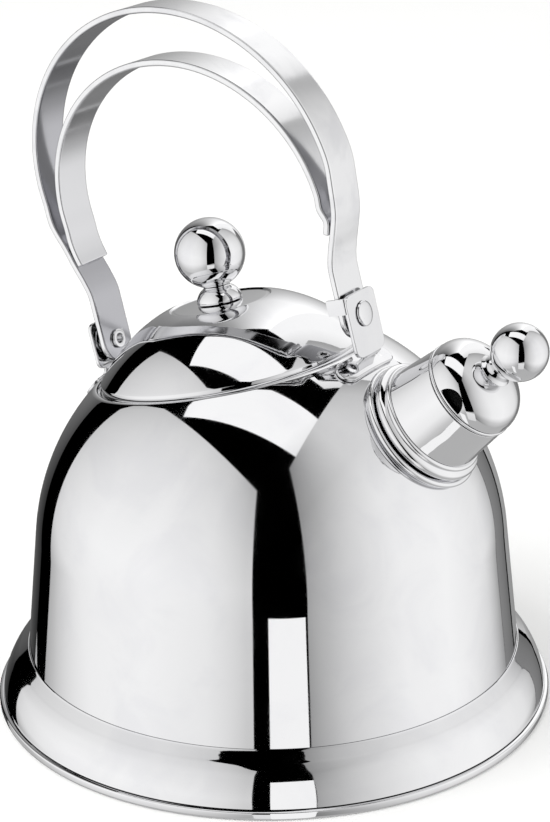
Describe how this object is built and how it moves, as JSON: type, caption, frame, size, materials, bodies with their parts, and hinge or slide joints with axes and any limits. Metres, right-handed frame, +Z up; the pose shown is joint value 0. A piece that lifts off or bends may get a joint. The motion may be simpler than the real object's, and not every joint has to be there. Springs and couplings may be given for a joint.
{
  "type": "stovetop whistling kettle",
  "caption": "Polished steel stovetop kettle with a domed body, flared base, swing handle, lift-off ball-knob lid and a pull-off whistle on its short spout.",
  "frame": {"origin": "centre of the flat underside that stands on the hob", "axes": "+Z up out of the hob, +X towards the spout, the kettle's plane of symmetry is XZ"},
  "size_m": [0.2275, 0.22, 0.2704],
  "materials": {
    "polished_steel": "mirror-polished stainless steel",
    "cast_aluminium": "plain cast",
    "black_silicone": "matt"
  },
  "bodies": {
    "body": {"body_shell": "polished_steel", "base_skirt": "polished_steel", "vessel_floor": "polished_steel", "heat_disc": "cast_aluminium", "capsule_pan": "polished_steel", "spout_tube": "polished_steel", "spout_flange": "polished_steel", "spout_collar": "polished_steel", "front_bracket": "polished_steel", "rear_bracket": "polished_steel", "front_rivet": "polished_steel", "rear_rivet": "polished_steel", "front_washer": "polished_steel", "rear_washer": "polished_steel"},
    "handle": {"outer_strap": "polished_steel", "inner_strap": "polished_steel"},
    "lid": {"lid_cap": "polished_steel", "lid_locating_ring": "polished_steel", "knob_stem": "polished_steel", "knob_ball": "polished_steel", "knob_screw": "polished_steel", "knob_washer": "polished_steel"},
    "whistle": {"whistle_barrel": "polished_steel", "whistle_seam_ring": "polished_steel", "whistle_dome": "polished_steel", "whistle_neck": "polished_steel", "whistle_ball": "polished_steel", "whistle_screw": "polished_steel", "whistle_lower_plate": "polished_steel", "whistle_upper_plate": "polished_steel", "whistle_seal": "black_silicone"}
  },
  "joints": [
    {"name": "handle_swing", "type": "hinge", "parent": "body", "child": "handle", "pos_m": [-0.0186, 0, 0.1471], "axis": [-0.9681, 0, -0.2504], "range_deg": [0, 85]},
    {"name": "lid_lift", "type": "slide", "parent": "body", "child": "lid", "axis": [-0.2215, 0, 0.9751], "range_m": [0, 0.035]},
    {"name": "whistle_pull", "type": "slide", "parent": "body", "child": "whistle", "axis": [0.7385, 0, 0.6743], "range_m": [0, 0.03]}
  ]
}
